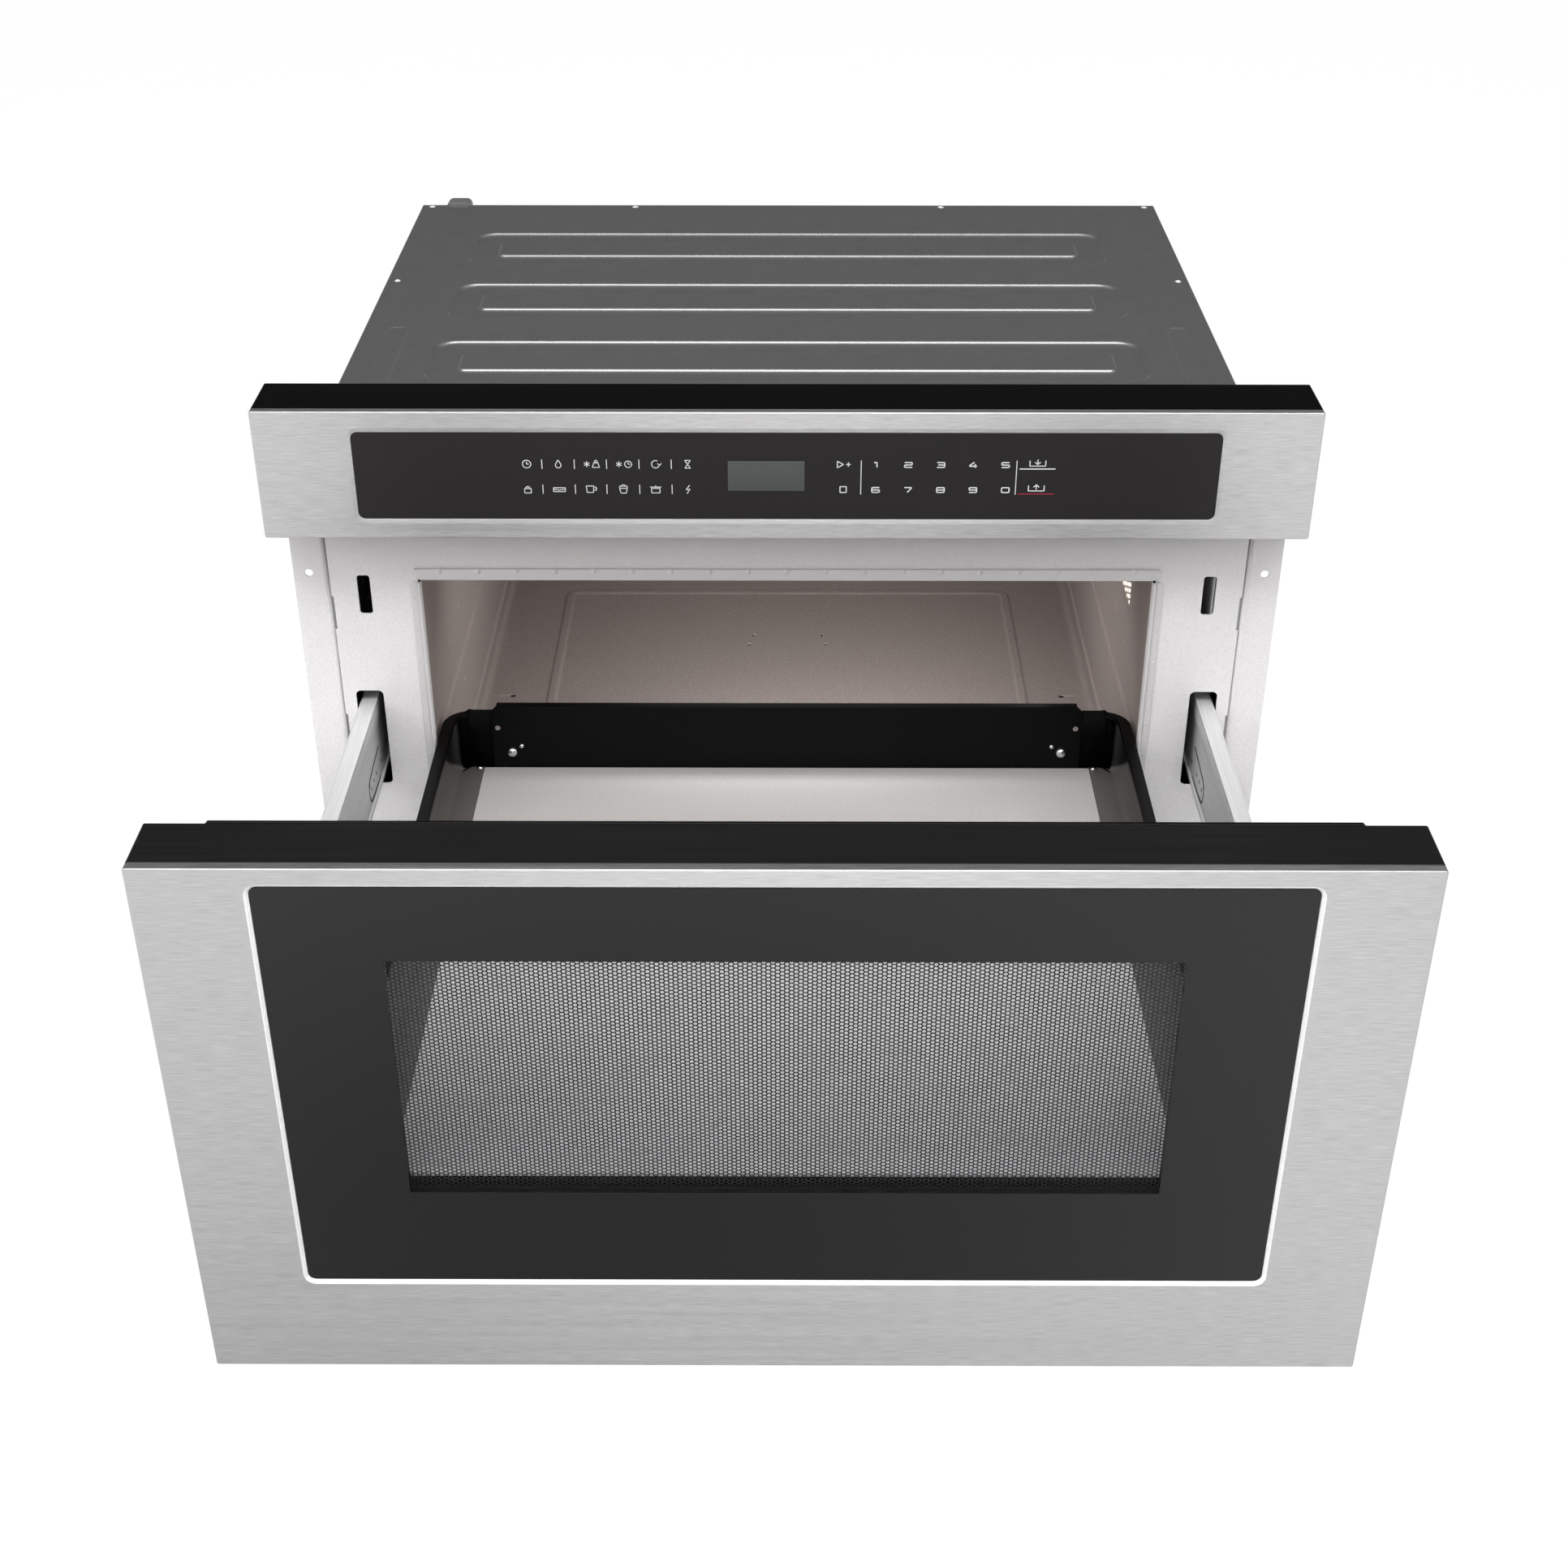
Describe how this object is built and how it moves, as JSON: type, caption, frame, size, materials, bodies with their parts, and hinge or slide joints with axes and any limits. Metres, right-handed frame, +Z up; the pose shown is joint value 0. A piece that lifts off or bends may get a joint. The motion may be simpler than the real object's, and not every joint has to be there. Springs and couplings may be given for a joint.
{
  "type": "microwave drawer",
  "caption": "Built-in drawer microwave, open: steel body with a cooking cavity, a control fascia above it and a motor-driven drawer on telescopic slides.",
  "frame": {"origin": "centre of the underside of the base pan", "axes": "+X to the right seen from the front, -Y towards the front where the drawer opens, +Z up"},
  "size_m": [0.6064, 0.839, 0.4101],
  "materials": {
    "brushed_steel": "horizontally brushed stainless steel",
    "black_paint": "satin black",
    "screen_paint": "dark grey, perforated in the visual",
    "control_glass": "glossy black glass with pale printed marks",
    "drawer_glass": "dark tinted glass with a black printed border",
    "display": "grey, unlit",
    "front_enamel": "pale powder coat",
    "cavity_enamel": "fine-textured grey-brown enamel",
    "galvanised": "dull galvanised grey",
    "slide_steel": "bright zinc plate",
    "ceramic": "pale smooth ceramic",
    "circuit_board": "green solder mask",
    "dark_plastic": "matt black",
    "pale_plastic": "off-white plastic",
    "aluminium": "mill finish",
    "transformer_iron": "varnished iron core with copper windings",
    "screw_steel": "bright plated steel"
  },
  "bodies": {
    "body": {"fascia_skin": "brushed_steel", "fascia_frame": "black_paint", "control_glass": "control_glass", "display_module": "display", "front_plate": "front_enamel", "mounting_flange_left": "front_enamel", "mounting_flange_right": "front_enamel", "cavity_floor": "cavity_enamel", "cavity_ceiling": "cavity_enamel", "cavity_back": "cavity_enamel", "cavity_wall_left": "cavity_enamel", "cavity_wall_right": "cavity_enamel", "base_pan": "galvanised", "top_cover": "galvanised", "rear_panel": "galvanised", "side_panel_left": "galvanised", "side_panel_right": "galvanised", "cord_inlet": "galvanised", "stirrer_housing": "galvanised", "waveguide": "galvanised", "slide_outer_left": "slide_steel", "slide_outer_right": "slide_steel", "control_board": "circuit_board", "power_board": "circuit_board", "stirrer_motor": "dark_plastic", "fan_shroud": "dark_plastic", "fan_motor": "dark_plastic", "drive_motor": "dark_plastic", "interlock_switch_left": "dark_plastic", "interlock_switch_right": "dark_plastic", "stirrer_cover": "pale_plastic", "cavity_lamp": "pale_plastic", "magnetron": "aluminium", "capacitor": "aluminium", "transformer": "transformer_iron"},
    "drawer": {"door_skin": "brushed_steel", "door_glass": "drawer_glass", "door_frame": "black_paint", "perforated_screen": "screen_paint", "choke_frame": "black_paint", "choke_cover": "black_paint", "drawer_pan": "black_paint", "tray": "ceramic", "drawer_back": "black_paint", "drive_rack": "pale_plastic", "slide_inner_left": "slide_steel", "slide_inner_right": "slide_steel", "latch_hook_left": "pale_plastic", "latch_hook_right": "pale_plastic", "corner_bracket_left": "black_paint", "corner_bracket_right": "black_paint", "dome_screw_left": "screw_steel", "dome_screw_right": "screw_steel"},
    "middle_slides": {"slide_middle_left": "slide_steel", "slide_middle_right": "slide_steel"},
    "pinion": {"drive_pinion": "pale_plastic"},
    "fan": {"fan_impeller": "pale_plastic"},
    "stirrer": {"stirrer_blade": "aluminium"}
  },
  "joints": [
    {"name": "drawer_slide", "type": "slide", "parent": "body", "child": "drawer", "axis": [0, -1, 0], "range_m": [-0.32666, 0]},
    {"name": "middle_slide", "type": "slide", "parent": "body", "child": "middle_slides", "axis": [0, -1, 0], "range_m": [-0.16334, 0]},
    {"name": "pinion_turn", "type": "hinge", "parent": "body", "child": "pinion", "pos_m": [0, -0.1898, 0.0403], "axis": [1, 0, 0], "range_deg": [-1250, 0]},
    {"name": "fan_spin", "type": "hinge", "parent": "body", "child": "fan", "pos_m": [0.1285, 0.2155, 0.3306], "axis": [0, 1, 0], "continuous": true},
    {"name": "stirrer_spin", "type": "hinge", "parent": "body", "child": "stirrer", "pos_m": [-0.0285, -0.01725, 0.3001], "axis": [0, 0, 1], "continuous": true}
  ],
  "couplings": [
    {"joint": "middle_slide", "follows": "drawer_slide", "ratio": 0.5},
    {"joint": "pinion_turn", "follows": "drawer_slide", "rad_per_m": 66.667}
  ]
}
